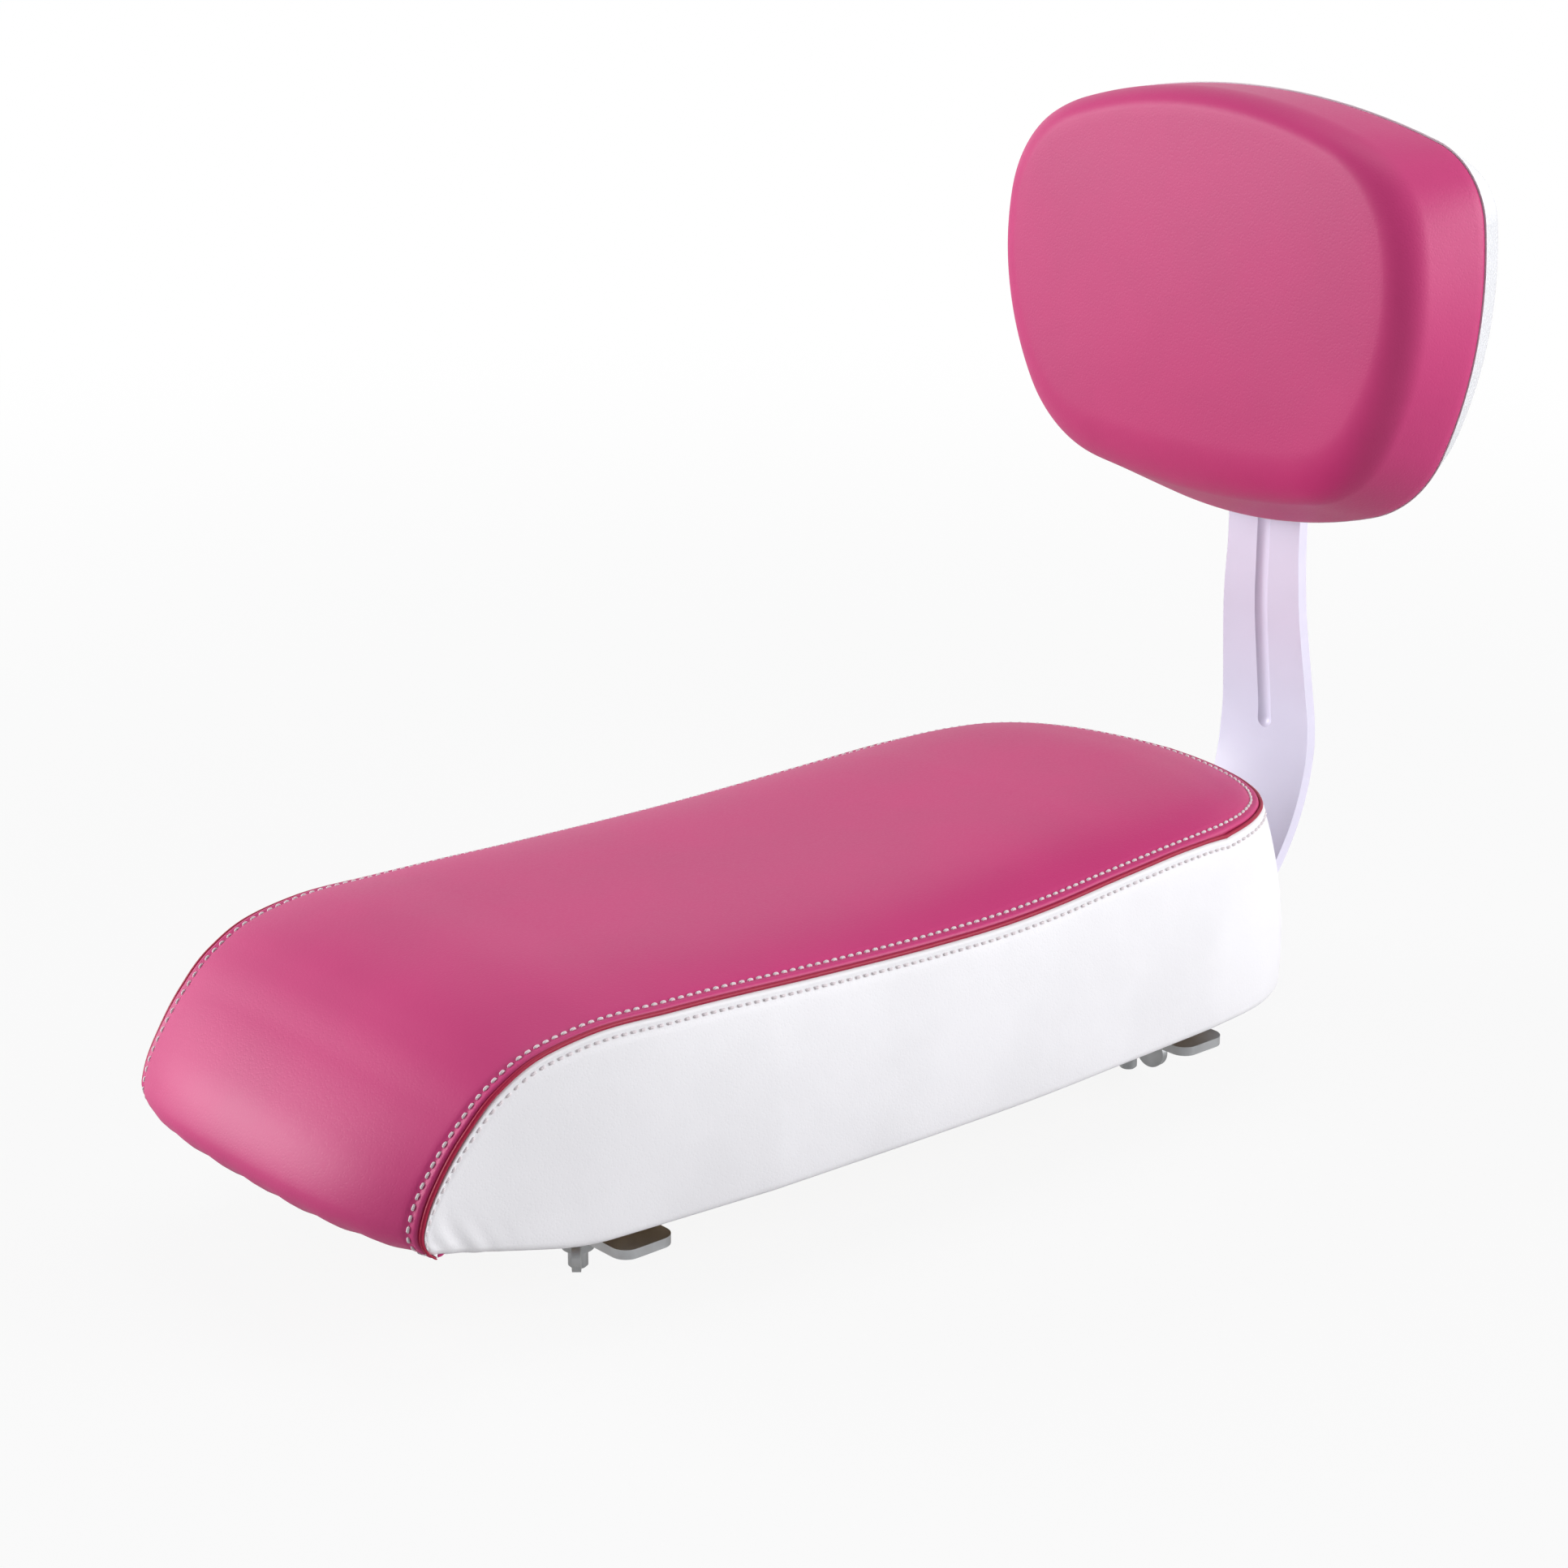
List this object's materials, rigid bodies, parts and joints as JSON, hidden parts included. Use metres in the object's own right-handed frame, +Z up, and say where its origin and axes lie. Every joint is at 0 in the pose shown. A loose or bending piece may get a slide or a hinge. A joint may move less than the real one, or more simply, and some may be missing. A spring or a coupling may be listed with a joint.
{
  "type": "child bike seat",
  "caption": "Padded saddle cushion for a rear bicycle carrier, with a padded backrest on a bent steel bar and clamp strips that grip the carrier's rails.",
  "frame": {"origin": "under the middle of the seat cushion, on the plane of its turned-in hem, which lies on the carrier's rails", "axes": "+X to the rider's left, +Y to the rear of the bicycle, +Z up"},
  "size_m": [0.1934, 0.4203, 0.3146],
  "materials": {
    "pink_leatherette": "satin",
    "white_leatherette": "satin",
    "foam": "matte",
    "plywood": "matte",
    "bar_paint": "satin",
    "zinc_steel": "satin",
    "shell_plastic": "gloss"
  },
  "bodies": {
    "root": {"seat_top_cover": "pink_leatherette", "seat_side_band": "white_leatherette", "seat_foam": "foam", "seat_base": "plywood", "base_tee_nuts": "zinc_steel", "backrest_bar": "bar_paint", "bar_bolts": "zinc_steel", "bar_washers": "zinc_steel", "clamp_strip_front": "zinc_steel", "clamp_strip_rear": "zinc_steel", "clamp_bolts": "zinc_steel", "clamp_washers": "zinc_steel", "clamp_wing_nuts": "zinc_steel", "backrest_cover": "pink_leatherette", "backrest_foam": "foam", "backrest_board": "plywood", "backrest_tee_nuts": "zinc_steel", "backrest_bolts": "zinc_steel", "backrest_washers": "zinc_steel", "backrest_shell": "shell_plastic", "shell_screws": "zinc_steel"}
  },
  "joints": []
}
